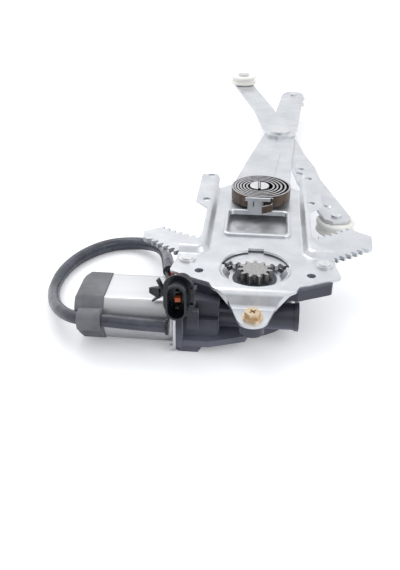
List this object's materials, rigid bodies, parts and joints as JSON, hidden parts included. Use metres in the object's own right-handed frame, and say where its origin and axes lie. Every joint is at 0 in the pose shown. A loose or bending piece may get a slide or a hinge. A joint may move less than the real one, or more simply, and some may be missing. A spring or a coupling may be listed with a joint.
{
  "type": "window regulator",
  "caption": "Power window regulator: crossed lift arms on a stamped plate, toothed sector, counterbalance spring, gear motor and harness plug.",
  "frame": {"origin": "middle of the four bolt holes in the backplate's raised flanges, on the flanges' seating face", "axes": "+Z out of the flanges' seating face, on the side of the spring, away from the motor; +Y from the motor towards the far ends of the arms; +X completes the right-handed frame"},
  "size_m": [0.2665, 0.6269, 0.0671],
  "materials": {
    "galvanised": "bright zinc plate",
    "rivet_steel": "bright plated",
    "spring_steel": "dark tempered strip",
    "sintered_steel": "sintered",
    "shaft_steel": "ground",
    "lamination": "stacked laminations",
    "magnet_ferrite": "ferrite",
    "copper": "enamelled copper",
    "bronze": "oil-filled bronze",
    "brass": "turned",
    "tin": "tinned",
    "carbon": "carbon",
    "yellow_zinc": "yellow zinc",
    "can_metal": "satin plated",
    "housing_plastic": "moulded",
    "cap_rubber": "matte",
    "damper_rubber": "matte",
    "wheel_nylon": "moulded",
    "nylon": "ivory",
    "connector_plastic": "moulded",
    "seal_red": "silicone",
    "sleeve_vinyl": "semi-gloss sleeve",
    "wire_red": "insulation",
    "wire_black": "insulation"
  },
  "bodies": {
    "base": {"backplate": "galvanised", "end_plate": "galvanised", "side_rivet_left": "rivet_steel", "side_rivet_right": "rivet_steel", "can_screw_1": "rivet_steel", "can_screw_2": "rivet_steel", "cover_screw_1": "rivet_steel", "cover_screw_2": "rivet_steel", "cover_screw_3": "rivet_steel", "counterbalance_spring": "spring_steel", "thrust_plug": "shaft_steel", "magnet_front": "magnet_ferrite", "magnet_rear": "magnet_ferrite", "pivot_bushing": "bronze", "rear_bearing": "bronze", "front_bearing": "bronze", "tongue_insert": "brass", "terminal_upper": "tin", "terminal_lower": "tin", "brush_upper": "carbon", "brush_lower": "carbon", "tongue_bolt": "yellow_zinc", "motor_can": "can_metal", "gear_housing": "housing_plastic", "housing_cover": "housing_plastic", "brush_holder": "housing_plastic", "end_cap": "cap_rubber", "connector_shell": "connector_plastic", "harness_clip": "connector_plastic", "cable_gland": "connector_plastic", "connector_seal": "seal_red", "cable_sleeve": "sleeve_vinyl", "wire_red": "wire_red", "wire_black": "wire_black"},
    "lift": {"lift_arm": "galvanised", "sector_gear": "galvanised", "sector_rivet_1": "rivet_steel", "sector_rivet_2": "rivet_steel", "sector_rivet_3": "rivet_steel", "pivot_stud": "rivet_steel", "glass_far_axle": "rivet_steel"},
    "equalizer": {"equalizer_near_arm": "galvanised", "equalizer_far_arm": "galvanised", "scissor_rivet": "rivet_steel", "scissor_washer": "rivet_steel", "glass_near_axle": "rivet_steel", "guide_axle": "rivet_steel"},
    "near_wheel": {"glass_near_roller": "nylon"},
    "far_wheel": {"glass_far_roller": "nylon"},
    "guide_wheel": {"guide_roller": "nylon"},
    "output": {"output_pinion": "sintered_steel", "worm_wheel": "wheel_nylon", "damper": "damper_rubber", "drive_plate": "shaft_steel"},
    "armature": {"armature_shaft": "shaft_steel", "armature_core": "lamination", "windings": "copper", "commutator": "copper"}
  },
  "joints": [
    {"name": "lift_swing", "type": "hinge", "parent": "base", "child": "lift", "pos_m": [0, -0.013, -0.005], "axis": [0, 0, 1], "range_deg": [-38, 38], "deforming": ["counterbalance_spring"]},
    {"name": "scissor_pivot", "type": "hinge", "parent": "lift", "child": "equalizer", "pos_m": [0.02013, 0.19603, -0.005], "axis": [0, 0, 1], "range_deg": [-76, 76]},
    {"name": "near_roller_spin", "type": "hinge", "parent": "equalizer", "child": "near_wheel", "pos_m": [0.07057, -0.00782, -0.03], "axis": [0, 0, 1], "continuous": true},
    {"name": "far_roller_spin", "type": "hinge", "parent": "lift", "child": "far_wheel", "pos_m": [0.04025, 0.40507, -0.03], "axis": [0, 0, 1], "continuous": true},
    {"name": "guide_roller_spin", "type": "hinge", "parent": "equalizer", "child": "guide_wheel", "pos_m": [-0.03032, 0.39988, 0.001], "axis": [0, 0, 1], "continuous": true},
    {"name": "output_spin", "type": "hinge", "parent": "base", "child": "output", "pos_m": [0, -0.143, -0.015], "axis": [0, 0, 1], "continuous": true},
    {"name": "armature_spin", "type": "hinge", "parent": "base", "child": "armature", "pos_m": [0, -0.165, -0.031], "axis": [1, 0, 0], "continuous": true}
  ],
  "couplings": [
    {"joint": "scissor_pivot", "follows": "lift_swing", "ratio": -2},
    {"joint": "output_spin", "follows": "lift_swing", "ratio": -10.818},
    {"joint": "armature_spin", "follows": "lift_swing", "ratio": -649.09}
  ]
}
